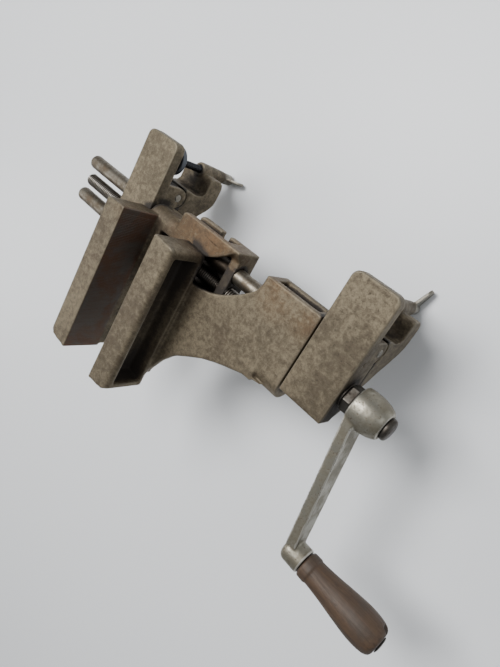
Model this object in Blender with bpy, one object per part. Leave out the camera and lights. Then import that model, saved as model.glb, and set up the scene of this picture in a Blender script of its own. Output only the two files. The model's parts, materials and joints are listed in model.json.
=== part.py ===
"""Portable bench vise with two table clamps, a lead screw, two guide rods and a wood-gripped crank.

X runs along the lead screw towards the crank, Y points towards the table that carries the vise,
Z is up.  Every dimension below is in millimetres and is measured from the lead screw's axis, at the
seam between the fixed jaw and the right clamp block.  The finished solids are in metres, and their
origin is the middle of the right clamp's table face.
"""
import math

import bmesh
import bpy
from mathutils import Matrix, Vector

MM = 0.001
TABLE_FACE = Vector((18.3, 52.0, 3.5))

# Guide rods and lead screw
ROD_RADIUS = 6.0
ROD_SPACING = 30.0
ROD_START, ROD_END = -264.4, 30.0
SCREW_RADIUS = 5.4
SCREW_START, SCREW_END = -261.5, 62.0
RUNNING_FIT = 0.08
ROUND_SEGMENTS = 48

# Castings: common section of the carriages and the clamp blocks
FACE_Z = 12.4
WALL = 6.0
CARRIAGE_TOP = 33.0
CARRIAGE_BOTTOM_CENTRE = -21.0

# Jaws
JAW_LENGTH = 123.0
JAW_TOP = 17.1
JAW_BOTTOM = JAW_TOP - JAW_LENGTH
JAW_THICKNESS = 22.0
JAW_HEAD_Z = 46.7
FIXED_FACE_X = -121.1
JAW_GAP = 37.0
MOVING_FACE_X = FIXED_FACE_X - JAW_GAP
POCKET_DEPTH = 15.0
JAW_EDGE = 4.2

# Carriages
FIXED_BODY = (-48.4, -0.3)
MOVING_BODY = (-168.6, -75.6)

# Clamp blocks, arms and screws
BLOCK_WIDTH = 35.4
RIGHT_BLOCK_X = 0.6
LEFT_BLOCK_X = -204.8
FLANGE_TIP_Y = 69.4
FLANGE_UNDERSIDE = 3.5
LUG_THICKNESS = 7.0
PIVOT_Y, PIVOT_Z = 30.3, -11.3
PIVOT_RADIUS = 3.0
LUG_RADIUS = 8.0
CLAMP_Y = 55.0
CLAMP_RADIUS = 3.0
PAD_RADIUS = 12.0
WING_REACH = 18.5

# Crank
COLLAR_RADIUS = 10.2
CRANK_HUB = (44.6, 67.0)
CRANK_REACH = 108.2
BOSS_X = (61.2, 77.2)
GRIP_START, GRIP_LENGTH = 77.9, 61.6
SPINDLE_RADIUS = 3.4
SCREW_AXIS = (CRANK_HUB[0], 0.0, 0.0)
GRIP_AXIS = (GRIP_START, -CRANK_REACH, 0.0)

MATERIALS = {
    "cast_aluminium": ((0.50, 0.47, 0.42), 1.0, 0.50),
    "polished_aluminium": ((0.66, 0.66, 0.65), 1.0, 0.33),
    "rod_steel": ((0.33, 0.29, 0.25), 1.0, 0.38),
    "dark_steel": ((0.12, 0.12, 0.125), 1.0, 0.42),
    "bright_steel": ((0.60, 0.60, 0.60), 1.0, 0.30),
    "bronze": ((0.45, 0.29, 0.13), 1.0, 0.40),
    "wood": ((0.28, 0.17, 0.10), 0.0, 0.62),
}


def material(name):
    found = bpy.data.materials.get(name)
    if found:
        return found
    colour, metallic, roughness = MATERIALS[name]
    found = bpy.data.materials.new(name)
    found.use_nodes = True
    shader = found.node_tree.nodes["Principled BSDF"]
    shader.inputs["Base Color"].default_value = (*colour, 1.0)
    shader.inputs["Metallic"].default_value = metallic
    shader.inputs["Roughness"].default_value = roughness
    found.diffuse_color = (*colour, 1.0)
    return found


def clear_scene():
    for item in list(bpy.data.objects):
        bpy.data.objects.remove(item, do_unlink=True)


def as_object(bm, name="tool"):
    bmesh.ops.remove_doubles(bm, verts=bm.verts, dist=1e-6)
    bmesh.ops.recalc_face_normals(bm, faces=bm.faces)
    mesh = bpy.data.meshes.new(name)
    bm.to_mesh(mesh)
    bm.free()
    item = bpy.data.objects.new(name, mesh)
    bpy.context.scene.collection.objects.link(item)
    return item


# A plane's first two letters are the sketch axes and the third is the direction of extrusion.
PLANES = {
    "yzx": Matrix(((0, 0, 1), (1, 0, 0), (0, 1, 0))),
    "xyz": Matrix(((1, 0, 0), (0, 1, 0), (0, 0, 1))),
    "xzy": Matrix(((1, 0, 0), (0, 0, 1), (0, 1, 0))),
}


def prism(outline, low, high, plane):
    turn = PLANES[plane]
    bm = bmesh.new()
    rings = [[bm.verts.new(turn @ Vector((a, b, level)) * MM) for a, b in outline]
             for level in (low, high)]
    count = len(outline)
    bm.faces.new(rings[0])
    bm.faces.new(rings[1])
    for i in range(count):
        j = (i + 1) % count
        bm.faces.new((rings[0][i], rings[0][j], rings[1][j], rings[1][i]))
    return as_object(bm)


def box(x, y, z):
    return prism([(x[0], y[0]), (x[1], y[0]), (x[1], y[1]), (x[0], y[1])], z[0], z[1], "xyz")


def turned(profile, centre, axis, segments=ROUND_SEGMENTS):
    """Solid of revolution: profile is (position along the axis, radius); centre is the other two."""
    bm = bmesh.new()
    rings = []
    for along, radius in profile:
        ring = []
        for i in range(segments):
            angle = 2 * math.pi * (i + 0.5) / segments
            across, up = radius * math.cos(angle), radius * math.sin(angle)
            if axis == "x":
                point = Vector((along, centre[0] + across, centre[1] + up))
            elif axis == "y":
                point = Vector((centre[0] + up, along, centre[1] + across))
            else:
                point = Vector((centre[0] + across, centre[1] + up, along))
            ring.append(bm.verts.new(point * MM))
        rings.append(ring)
    bm.faces.new(rings[0])
    bm.faces.new(rings[-1])
    for first, second in zip(rings, rings[1:]):
        for i in range(segments):
            j = (i + 1) % segments
            bm.faces.new((first[i], first[j], second[j], second[i]))
    return as_object(bm)


def drill(axis, centre, low, high, radius, segments=ROUND_SEGMENTS):
    return turned([(low, radius), (high, radius)], centre, axis, segments)


def hull(points):
    bm = bmesh.new()
    for point in points:
        bm.verts.new(Vector(point) * MM)
    bmesh.ops.convex_hull(bm, input=bm.verts)
    loose = [v for v in bm.verts if not v.link_faces]
    bmesh.ops.delete(bm, geom=loose, context="VERTS")
    bmesh.ops.dissolve_limit(bm, angle_limit=0.0001, verts=bm.verts, edges=bm.edges)
    return as_object(bm)


def combine(target, operation, tools):
    for tool in tools:
        change = target.modifiers.new("change", "BOOLEAN")
        change.operation = operation
        change.solver = "EXACT"
        change.object = tool
        bpy.context.view_layer.update()
        graph = bpy.context.evaluated_depsgraph_get()
        fresh = bpy.data.meshes.new_from_object(target.evaluated_get(graph))
        target.modifiers.clear()
        target.data = fresh
        bpy.data.objects.remove(tool, do_unlink=True)
    return target


def join(target, *tools):
    return combine(target, "UNION", tools)


def cut(target, *tools):
    return combine(target, "DIFFERENCE", tools)


def finish(item, name, material_name, smooth=False, pivot=None):
    """Clean the solid, name it, and put its origin on the axis it moves about."""
    pivot = Vector(pivot) if pivot else TABLE_FACE
    item.data.transform(Matrix.Translation(-pivot * MM))
    item.location = (pivot - TABLE_FACE) * MM
    bm = bmesh.new()
    bm.from_mesh(item.data)
    bmesh.ops.remove_doubles(bm, verts=bm.verts, dist=1e-6)
    bmesh.ops.dissolve_limit(bm, angle_limit=0.0005, verts=bm.verts, edges=bm.edges)
    bmesh.ops.triangulate(bm, faces=bm.faces)
    bmesh.ops.recalc_face_normals(bm, faces=bm.faces)
    bm.to_mesh(item.data)
    bm.free()
    item.name = name
    item.data.name = name
    item.data.materials.clear()
    item.data.materials.append(material(material_name))
    if smooth:
        item.data.polygons.foreach_set("use_smooth", [True] * len(item.data.polygons))
        item.data.set_sharp_from_angle(angle=math.radians(35))
    return item


def arc(centre, radius, start, stop, steps):
    return [(centre[0] + radius * math.cos(math.radians(start + (stop - start) * i / steps)),
             centre[1] + radius * math.sin(math.radians(start + (stop - start) * i / steps)))
            for i in range(steps + 1)]


def carriage_outline(bottom_centre, radius, top):
    """Flat front and back, half-round underside; in Y and Z."""
    return ([(top, -FACE_Z)] + [(top, FACE_Z)]
            + arc((bottom_centre, 0.0), radius, 90.0, 270.0, 16))


def rod_bores(low, high):
    return [drill("x", (y, 0.0), low, high, ROD_RADIUS + RUNNING_FIT)
            for y in (ROD_SPACING / 2, -ROD_SPACING / 2)]


def screw_bore(low, high, radius=SCREW_RADIUS + 0.5):
    return drill("x", (0.0, 0.0), low, high, radius)


def jaw_plate(face_x, outward):
    """Gripping plate with its hollow back; outward is +1 when the grip faces +X."""
    back_x = face_x - outward * JAW_THICKNESS
    round_x = back_x + outward * JAW_EDGE
    top = JAW_TOP - 0.7
    outline = ([(face_x, JAW_TOP), (round_x, top)]
               + [(round_x - outward * JAW_EDGE * math.sin(math.radians(t)),
                   top - JAW_EDGE * (1.0 - math.cos(math.radians(t)))) for t in (22.5, 45.0, 67.5, 90.0)]
               + [(back_x, JAW_BOTTOM + 5.0), (back_x + outward * 6.0, JAW_BOTTOM + 1.2),
                  (face_x, JAW_BOTTOM)])
    plate = prism(outline, 12.7, JAW_HEAD_Z, "xyz")
    over = JAW_HEAD_Z + 0.6
    beyond = back_x - outward * 0.6
    corner = ([(round_x, over)]
              + [(round_x - outward * JAW_EDGE * math.sin(math.radians(t)),
                  JAW_HEAD_Z - JAW_EDGE * (1.0 - math.cos(math.radians(t))))
                 for t in (0.0, 22.5, 45.0, 67.5, 90.0)]
              + [(beyond, JAW_HEAD_Z - JAW_EDGE), (beyond, over)])
    cut(plate, prism(corner, JAW_BOTTOM - 1.0, JAW_TOP + 1.0, "xzy"))
    floor_x = back_x + outward * POCKET_DEPTH
    mouth_x = back_x - outward * 1.0
    pocket = hull([(mouth_x, 9.8, 15.6), (mouth_x, 9.8, 41.4), (mouth_x, -97.5, 41.4),
                   (mouth_x, -97.5, 15.6), (floor_x, 7.6, 17.4), (floor_x, 7.6, 39.8),
                   (floor_x, -95.2, 39.8), (floor_x, -95.2, 17.4)])
    return cut(plate, pocket)


def fixed_jaw():
    low, high = FIXED_BODY
    body = prism(carriage_outline(CARRIAGE_BOTTOM_CENTRE, FACE_Z, CARRIAGE_TOP), low, high, "yzx")
    neck_top = [(-44.0, 33.0), (-48.4, 33.0), (-48.7, 24.9), (-51.1, 18.6), (-58.1, 11.6),
                (-66.0, 5.6), (-74.2, 0.4), (-82.5, -3.4), (-93.0, -6.2), (-104.0, -7.6),
                (-121.1, -8.4)]
    neck_bottom = [(-121.1, -98.0), (-104.0, -95.0), (-99.0, -84.0), (-93.5, -72.5), (-86.0, -62.5),
                   (-75.5, -53.6), (-63.0, -46.2), (-50.5, -40.9), (-38.2, -37.0), (-28.0, -33.4),
                   (-20.0, -33.0), (-20.0, -20.0), (-30.0, 0.0)]
    thick_bottom = [(-121.1, -88.0), (-111.5, -87.0), (-105.8, -80.0), (-98.1, -71.0), (-86.2, -62.0),
                    (-73.8, -53.8), (-62.0, -46.6), (-50.5, -41.4), (-38.2, -36.8), (-24.0, -32.2),
                    (-10.0, -29.7)]
    shell = prism(neck_top + neck_bottom, 7.2, FACE_Z, "xyz")
    thick = prism([(-121.1, -29.5)] + thick_bottom + [(-30.0, -29.5)], -9.0, FACE_Z - 0.1, "xyz")
    plate = jaw_plate(FIXED_FACE_X, -1)
    skirt = box((FIXED_FACE_X, -103.0), (-96.0, -8.4), (8.0, 14.2))
    lip = prism([(FIXED_FACE_X, -29.5), (FIXED_FACE_X, JAW_BOTTOM + 2.0), (-115.0, JAW_BOTTOM + 3.0),
                 (-108.0, -96.0), (-108.0, -29.5)], -3.0, 12.9, "xyz")
    join(body, shell, thick, skirt, lip, plate)
    channel = box((low + WALL, high - WALL), (-28.5, CARRIAGE_TOP + 1.0), (-6.6, 6.6))
    cut(body, channel, *rod_bores(low - 1.0, high + 1.0), screw_bore(low - 1.0, high + 1.0))
    return finish(body, "fixed_jaw", "cast_aluminium")


def moving_jaw():
    low, high = MOVING_BODY
    split, step = -150.0, -137.0
    shoulder = (arc((15.5, -4.4), 8.0, -90.0, 0.0, 6) + arc((15.5, 4.4), 8.0, 0.0, 90.0, 6))
    body = prism(shoulder + arc((CARRIAGE_BOTTOM_CENTRE, 0.0), FACE_Z, 90.0, 270.0, 16),
                 low, split, "yzx")
    boss = prism(shoulder + [(9.0, FACE_Z), (9.0, -FACE_Z)], split - 2.0, step + 1.0, "yzx")
    near_wall = prism([(step - 1.0, 9.6), (-118.0, 10.4), (-108.0, 12.6), (-99.2, 15.8),
                       (-92.0, 20.0), (-85.8, 24.7), (-81.0, 29.0), (-77.8, 32.2), (-77.2, 33.0),
                       (step + 3.0, 33.0), (step + 0.6, 31.6), (step, 29.0), (step, 15.0),
                       (step - 1.0, 14.0)], 6.6, FACE_Z, "xyz")
    far_wall = prism([(split - 2.0, -26.6), (high, -26.6), (high, 33.0), (-103.9, 33.0),
                      (-103.9, 27.4), (-111.9, 27.4), (-111.9, 33.0), (step + 3.0, 33.0),
                      (step + 0.6, 31.6), (step, 29.0), (step, 15.0), (split - 2.0, 15.0)],
                     -FACE_Z, -6.8, "xyz")
    floor = box((split - 2.0, high), (-26.6, -21.8), (-FACE_Z + 0.1, 6.2))
    end_wall = prism([(-26.5, -FACE_Z + 0.1), (32.9, -FACE_Z + 0.1), (32.9, 12.2), (30.6, 12.2),
                      (25.4, 6.9), (-26.5, 6.9)], high - 8.6, high - 0.1, "yzx")
    tie = box((-92.0, high - 2.0), (27.6, 32.9), (-8.0, 8.0))
    plate = jaw_plate(MOVING_FACE_X, 1)
    root = box((low + 0.1, MOVING_FACE_X), (-60.0, 16.0), (2.0, 14.6))
    web = prism([(low + 0.1, -20.0), (low + 0.1, -97.0), (-163.0, JAW_BOTTOM + 3.0),
                 (MOVING_FACE_X, JAW_BOTTOM + 2.0), (MOVING_FACE_X, -20.0)], -3.0, 13.4, "xyz")
    join(body, boss, near_wall, far_wall, floor, tie, end_wall, web, root, plate)
    seat = box((low - 1.0, -153.8), (-7.25, 7.25), (-9.25, 9.25))
    cut(body, seat, *rod_bores(low - 1.0, high + 1.0), screw_bore(low - 1.0, high + 1.0))
    return finish(body, "moving_jaw", "cast_aluminium", pivot=(MOVING_FACE_X, 0.0, 0.0))


def clamp_block(name, x, rods_through):
    side = x + BLOCK_WIDTH
    r = 5.5
    flange = ([(x + 0.0, -20.0), (side, -20.0)]
              + arc((side - r, FLANGE_TIP_Y - r), r, 0.0, 90.0, 5)
              + arc((x + r, FLANGE_TIP_Y - r), r, 90.0, 180.0, 5))
    plate = prism(flange, FLANGE_UNDERSIDE, FACE_Z, "xyz")
    body_outline = ([(22.0, -FACE_Z), (22.0, FACE_Z - 0.1)]
                    + [(-22.4, FACE_Z - 0.1)]
                    + arc((-11.9, 0.0), 12.3, 195.0, 270.0, 9))
    body = prism(body_outline, x, side, "yzx")
    join(body, plate)
    lug_outline = ([(PIVOT_Y - LUG_RADIUS, 6.0)]
                   + arc((PIVOT_Y, PIVOT_Z), LUG_RADIUS, 180.0, 360.0, 14)
                   + [(PIVOT_Y + LUG_RADIUS, 6.0)])
    for inner, outer in ((x + 0.5, x + LUG_THICKNESS), (side - LUG_THICKNESS, side - 0.5)):
        join(body, prism(lug_outline, inner, outer, "yzx"))
    pin_hole = drill("x", (PIVOT_Y, PIVOT_Z), x - 1.0, side + 1.0, PIVOT_RADIUS + 0.06, 24)
    if rods_through:
        cut(body, pin_hole, *rod_bores(x - 1.0, side + 1.0), screw_bore(x - 1.0, side + 1.0, 6.3))
    else:
        cut(body, pin_hole, *rod_bores(x - 1.0, ROD_END + 0.1),
            screw_bore(x - 1.0, side + 1.0, SCREW_RADIUS + RUNNING_FIT))
        for y in (ROD_SPACING / 2, -ROD_SPACING / 2):
            cut(body, drill("z", (x + 18.0, y), -FACE_Z - 1.0, -3.0, 2.56, 20))
        cut(body, hull([(side + 1.0, -14.0, -14.0), (side + 1.0, -26.0, -14.0), (side - 4.5, -18.0, -14.0),
                        (side - 4.5, -26.0, -14.0), (side + 1.0, -26.0, 1.0), (side + 1.0, -21.0, -2.0)]))
    return finish(body, name, "cast_aluminium", pivot=(x + BLOCK_WIDTH / 2, 0.0, 0.0))


def clamp_arm(name, x):
    side = x + BLOCK_WIDTH
    outline = [(2.0, -12.9), (0.6, -18.0), (4.0, -23.2), (13.0, -32.4), (21.0, -42.6),
               (28.0, -50.2), (33.0, -53.7), (38.0, -54.5), (48.0, -54.5), (52.0, -52.9),
               (54.2, -49.1), (54.2, -41.5), (53.0, -38.7), (49.0, -38.1), (40.5, -38.1),
               (38.0, -35.9), (37.0, -30.0), (39.2, -19.0), (39.8, -12.6), (21.4, -12.9)]
    body = prism(outline, x + 0.3, side - 0.3, "yzx")
    boss = turned([(-67.5, 4.9), (-66.5, 5.3), (-49.5, 5.9), (-37.9, 6.2), (-36.9, 5.6)],
                  (x + BLOCK_WIDTH / 2, CLAMP_Y), "z", 32)
    join(body, boss)
    tongue = (arc((PIVOT_Y, PIVOT_Z), LUG_RADIUS - 0.2, -30.0, 200.0, 18)
              + [(24.0, -24.0), (36.0, -24.0)])
    recess = (arc((PIVOT_Y, PIVOT_Z), LUG_RADIUS + 0.5, 180.0, 360.0, 14)
              + [(PIVOT_Y + LUG_RADIUS + 4.0, 0.0), (PIVOT_Y - LUG_RADIUS - 0.5, 0.0)])
    low, high = x + LUG_THICKNESS + 0.3, side - LUG_THICKNESS - 0.3
    cut(body, prism(recess, x - 1.0, low, "yzx"), prism(recess, high, side + 1.0, "yzx"))
    join(body, prism(tongue, low, high, "yzx"))
    cut(body, drill("x", (PIVOT_Y, PIVOT_Z), x - 1.0, side + 1.0, PIVOT_RADIUS + RUNNING_FIT, 24),
        drill("z", (x + BLOCK_WIDTH / 2, CLAMP_Y), -75.0, -25.0, CLAMP_RADIUS + RUNNING_FIT, 24))
    return finish(body, name, "cast_aluminium", pivot=(x + BLOCK_WIDTH / 2, PIVOT_Y, PIVOT_Z))


def pivot_pin(name, x):
    side = x + BLOCK_WIDTH
    pin = turned([(x + 0.2, 2.5), (x + 0.7, PIVOT_RADIUS), (side - 0.7, PIVOT_RADIUS),
                  (side - 0.2, 2.5)], (PIVOT_Y, PIVOT_Z), "x", 24)
    return finish(pin, name, "bright_steel", True, (x + BLOCK_WIDTH / 2, PIVOT_Y, PIVOT_Z))


def clamp_screw(name, x):
    centre = (x + BLOCK_WIDTH / 2, CLAMP_Y)
    screw = turned([(-77.5, 2.6), (-77.1, CLAMP_RADIUS), (-7.2, CLAMP_RADIUS), (-6.6, 2.4)],
                   centre, "z", 24)
    return finish(screw, name, "dark_steel", True, (*centre, 0.0))


def clamp_pad(name, x):
    centre = (x + BLOCK_WIDTH / 2, CLAMP_Y)
    pad = turned([(-12.4, 5.0), (-9.8, 5.4), (-9.2, PAD_RADIUS - 0.4), (-8.6, PAD_RADIUS),
                  (-4.8, PAD_RADIUS), (-4.2, PAD_RADIUS - 0.5)], centre, "z", 32)
    cut(pad, drill("z", centre, -14.0, -6.4, CLAMP_RADIUS + RUNNING_FIT, 24))
    return finish(pad, name, "dark_steel", True, (*centre, 0.0))


def wing_handle(name, x, angle):
    """Hub with two flat ears; angle is measured from +X towards +Y."""
    hub = turned([(-79.1, 3.9), (-78.1, 4.6), (-69.5, 4.9), (-67.8, 4.6)], (0.0, 0.0), "z", 32)
    ear = [(-WING_REACH + 2.5, -78.9), (-4.0, -80.1), (4.0, -80.1), (WING_REACH - 2.5, -78.9),
           (WING_REACH - 0.6, -77.7), (WING_REACH, -75.7), (WING_REACH - 0.8, -73.7),
           (WING_REACH - 3.0, -72.5), (5.0, -68.7), (-5.0, -68.7), (-WING_REACH + 3.0, -72.5),
           (-WING_REACH + 0.8, -73.7), (-WING_REACH, -75.7), (-WING_REACH + 0.6, -77.7)]
    wing = join(prism(ear, -1.25, 1.25, "xzy"), hub)
    cut(wing, drill("z", (0.0, 0.0), -77.8, -60.0, CLAMP_RADIUS + 0.06, 24))
    place = Matrix.Translation(Vector((x + BLOCK_WIDTH / 2, CLAMP_Y, 0.0)) * MM)
    wing.data.transform(place @ Matrix.Rotation(math.radians(angle), 4, "Z"))
    return finish(wing, name, "bright_steel", pivot=(x + BLOCK_WIDTH / 2, CLAMP_Y, 0.0))


def guide_rod(name, y):
    rod = turned([(ROD_START, 5.0), (ROD_START + 1.2, ROD_RADIUS), (ROD_END - 0.6, ROD_RADIUS),
                  (ROD_END, 5.4)], (y, 0.0), "x")
    return finish(rod, name, "rod_steel", smooth=True)


def lead_screw():
    screw = turned([(SCREW_START, 4.4), (SCREW_START + 1.2, SCREW_RADIUS), (-4.0, SCREW_RADIUS),
                    (SCREW_END, SCREW_RADIUS), (SCREW_END + 0.1, 3.4), (70.4, 3.4)],
                   (0.0, 0.0), "x")
    return finish(screw, "lead_screw", "dark_steel", True, SCREW_AXIS)


def lead_nut():
    nut = box((-168.4, -154.1), (-7.1, 7.1), (-9.1, 9.1))
    cut(nut, screw_bore(-170.0, -150.0, SCREW_RADIUS + RUNNING_FIT))
    return finish(nut, "lead_nut", "bronze", pivot=SCREW_AXIS)


def thrust_washer():
    washer = turned([(36.3, 9.0), (37.5, 9.0)], (0.0, 0.0), "x", 40)
    cut(washer, screw_bore(30.0, 40.0, SCREW_RADIUS + RUNNING_FIT))
    return finish(washer, "thrust_washer", "bright_steel", True, SCREW_AXIS)


def screw_collar():
    collar = turned([(37.8, COLLAR_RADIUS - 0.7), (38.5, COLLAR_RADIUS), (43.7, COLLAR_RADIUS),
                     (44.3, COLLAR_RADIUS - 0.7)], (0.0, 0.0), "x", 6)
    cut(collar, screw_bore(30.0, 50.0, SCREW_RADIUS + 0.06))
    return finish(collar, "screw_collar", "dark_steel", True, SCREW_AXIS)


def crank_arm():
    hub = turned([(CRANK_HUB[0], 12.2), (CRANK_HUB[0] + 0.7, 12.9), (49.0, 13.4), (53.0, 13.5),
                  (57.5, 13.1), (61.5, 12.2), (64.6, 11.0), (66.4, 9.9), (CRANK_HUB[1], 9.0)],
                 (0.0, 0.0), "x")
    boss = turned([(BOSS_X[0], 5.6), (BOSS_X[0] + 0.9, 7.3), (BOSS_X[0] + 2.4, 8.6),
                   (BOSS_X[0] + 4.6, 9.2), (BOSS_X[1] - 0.5, 9.2), (BOSS_X[1], 8.8)],
                  (-CRANK_REACH, 0.0), "x")
    bar = hull([(44.7, -4.0, 11.6), (52.2, -4.0, 10.8), (44.7, -4.0, -11.6), (52.2, -4.0, -10.8),
                (61.5, -CRANK_REACH + 3.0, 7.2), (69.4, -CRANK_REACH + 3.0, 7.6),
                (61.5, -CRANK_REACH + 3.0, -7.2), (69.4, -CRANK_REACH + 3.0, -7.6)])
    join(hub, bar, boss)
    cut(hub, screw_bore(40.0, 62.2, SCREW_RADIUS + 0.06), screw_bore(60.0, 70.0, 3.46),
        drill("x", (-CRANK_REACH, 0.0), 66.0, 80.0, SPINDLE_RADIUS + 0.06, 32))
    return finish(hub, "crank_arm", "polished_aluminium", True, SCREW_AXIS)


def crank_nut():
    nut = turned([(67.2, 7.6), (69.4, 7.6), (70.6, 6.8), (71.4, 5.0)], (0.0, 0.0), "x", 40)
    cut(nut, screw_bore(60.0, 70.7, 3.46))
    return finish(nut, "crank_nut", "dark_steel", True, SCREW_AXIS)


def grip_spindle():
    spindle = turned([(66.4, 3.0), (66.8, SPINDLE_RADIUS), (139.6, SPINDLE_RADIUS),
                      (139.7, 5.6), (140.3, 5.4), (140.8, 4.2)], (-CRANK_REACH, 0.0), "x", 32)
    return finish(spindle, "grip_spindle", "dark_steel", True, GRIP_AXIS)


def crank_grip():
    x = GRIP_START
    profile = [(0.0, 8.4), (0.8, 9.2), (6.0, 9.5), (7.4, 9.3), (9.6, 8.9), (16.0, 9.3),
               (26.0, 10.3), (36.0, 11.5), (46.0, 12.3), (52.0, 12.2), (56.0, 11.5),
               (59.0, 10.2), (61.0, 8.4), (GRIP_LENGTH - 0.2, 7.0)]
    grip = turned([(x + along, radius) for along, radius in profile], (-CRANK_REACH, 0.0), "x")
    cut(grip, drill("x", (-CRANK_REACH, 0.0), x - 1.0, x + GRIP_LENGTH + 1.0,
                    SPINDLE_RADIUS + RUNNING_FIT, 32))
    return finish(grip, "crank_grip", "wood", True, GRIP_AXIS)


def rod_set_screw(name, y):
    screw = turned([(-12.2, 2.5), (-6.3, 2.5)], (RIGHT_BLOCK_X + 18.0, y), "z", 20)
    socket = turned([(-13.0, 1.45), (-9.6, 1.45)], (RIGHT_BLOCK_X + 18.0, y), "z", 6)
    cut(screw, socket)
    return finish(screw, name, "dark_steel")


clear_scene()
fixed_jaw()
moving_jaw()
clamp_block("right_clamp_block", RIGHT_BLOCK_X, False)
clamp_block("left_clamp_block", LEFT_BLOCK_X, True)
for side_name, block_x, wing_angle in (("right", RIGHT_BLOCK_X, 74.0), ("left", LEFT_BLOCK_X, 10.0)):
    clamp_arm(side_name + "_clamp_arm", block_x)
    pivot_pin(side_name + "_pivot_pin", block_x)
    clamp_screw(side_name + "_clamp_screw", block_x)
    clamp_pad(side_name + "_clamp_pad", block_x)
    wing_handle(side_name + "_wing_handle", block_x, wing_angle)
guide_rod("table_side_rod", ROD_SPACING / 2)
guide_rod("jaw_side_rod", -ROD_SPACING / 2)
lead_screw()
lead_nut()
thrust_washer()
screw_collar()
crank_arm()
crank_nut()
grip_spindle()
crank_grip()
rod_set_screw("table_side_set_screw", ROD_SPACING / 2)
rod_set_screw("jaw_side_set_screw", -ROD_SPACING / 2)
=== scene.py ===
# %% [markdown]
# # A portable bench vise
#
# The vise is cast aluminium on steel rods.  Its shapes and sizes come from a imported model, which is
# loaded below as a fixed frame.  That model has sharp edges, smooth rods and flat colours.  This
# lesson gives each part the surface the real one has: rounded castings, cut threads, serrated
# gripping faces, a turned wooden grip, and finishes that show years of handling.
#
# Positions are in millimetres where a maker would say them, and are turned into metres as meshes
# are made.  X runs along the lead screw towards the crank, Y in over the table, and Z up.

import json
import math

import bmesh
import bpy
import numpy as np
from mathutils import Matrix, Vector
from mathutils.bvhtree import BVHTree
from mathutils.kdtree import KDTree

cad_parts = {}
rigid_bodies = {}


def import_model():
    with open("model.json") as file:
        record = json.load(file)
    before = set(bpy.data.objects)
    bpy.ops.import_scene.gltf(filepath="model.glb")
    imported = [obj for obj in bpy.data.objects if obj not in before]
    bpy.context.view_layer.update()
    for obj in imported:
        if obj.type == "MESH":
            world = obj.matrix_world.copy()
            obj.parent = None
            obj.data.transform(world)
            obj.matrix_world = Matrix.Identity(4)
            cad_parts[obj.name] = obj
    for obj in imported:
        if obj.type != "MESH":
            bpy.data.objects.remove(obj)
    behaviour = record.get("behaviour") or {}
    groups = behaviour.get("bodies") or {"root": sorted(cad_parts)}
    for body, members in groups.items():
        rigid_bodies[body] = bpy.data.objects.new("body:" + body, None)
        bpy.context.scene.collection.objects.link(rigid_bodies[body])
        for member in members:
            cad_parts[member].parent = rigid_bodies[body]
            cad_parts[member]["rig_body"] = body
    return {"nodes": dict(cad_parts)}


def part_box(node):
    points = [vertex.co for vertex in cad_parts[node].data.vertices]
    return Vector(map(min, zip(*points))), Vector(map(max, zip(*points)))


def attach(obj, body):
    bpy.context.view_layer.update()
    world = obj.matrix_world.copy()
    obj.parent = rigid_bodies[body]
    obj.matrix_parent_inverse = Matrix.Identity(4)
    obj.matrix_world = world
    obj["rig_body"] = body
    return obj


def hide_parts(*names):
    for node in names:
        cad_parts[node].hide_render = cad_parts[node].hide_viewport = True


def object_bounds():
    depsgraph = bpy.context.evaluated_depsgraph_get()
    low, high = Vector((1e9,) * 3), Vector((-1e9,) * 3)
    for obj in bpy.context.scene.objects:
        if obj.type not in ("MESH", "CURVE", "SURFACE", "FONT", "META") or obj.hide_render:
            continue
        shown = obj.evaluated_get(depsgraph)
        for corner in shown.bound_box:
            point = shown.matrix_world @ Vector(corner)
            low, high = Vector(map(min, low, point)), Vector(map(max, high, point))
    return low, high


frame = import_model()
cad_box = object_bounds()
MM = 0.001

# %% [markdown]
# ## Where the axes are
# Every position is taken from the loaded solids, so the finished surfaces can't drift away from the
# parts that move.  A round part's axis is the middle of its box.

# %% Read axes and sizes from the solids


def span(node):
    """Lowest and highest corner of a solid, in millimetres."""
    low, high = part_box(node)
    return low / MM, high / MM


def middle(node):
    low, high = span(node)
    return (low + high) / 2


screw_axis = middle("lead_screw")
grip_axis = middle("grip_spindle")
print("lead screw axis at Y %.1f, Z %.1f" % (screw_axis.y, screw_axis.z))

# %% [markdown]
# ## Talking to node trees
# Materials and Geometry Nodes are both node trees.  Written out node by node they are long and hard
# to read, so two small classes let them be written as sums.  A Wire is one output socket.  Adding,
# taking away, multiplying or dividing it adds a Math node.  A Tree adds every other kind of node with
# one method, which takes the node's type, its settings, and what its sockets receive.

# %% Wires and trees


class Wire:
    def __init__(self, tree, socket):
        self.tree = tree
        self.socket = socket

    def math(self, operation, first, second):
        return self.tree.add("ShaderNodeMath", {"operation": operation}, {0: first, 1: second})

    def __add__(self, other):
        return self.math("ADD", self, other)

    def __radd__(self, other):
        return self.math("ADD", other, self)

    def __sub__(self, other):
        return self.math("SUBTRACT", self, other)

    def __rsub__(self, other):
        return self.math("SUBTRACT", other, self)

    def __mul__(self, other):
        return self.math("MULTIPLY", self, other)

    def __rmul__(self, other):
        return self.math("MULTIPLY", other, self)

    def __truediv__(self, other):
        return self.math("DIVIDE", self, other)

    def __rtruediv__(self, other):
        return self.math("DIVIDE", other, self)

    def between(self, low, high):
        """0 at low, 1 at high, smooth in between."""
        return self.tree.add("ShaderNodeMapRange", {"interpolation_type": "SMOOTHSTEP"},
                             {"Value": self, "From Min": low, "From Max": high})


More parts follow.
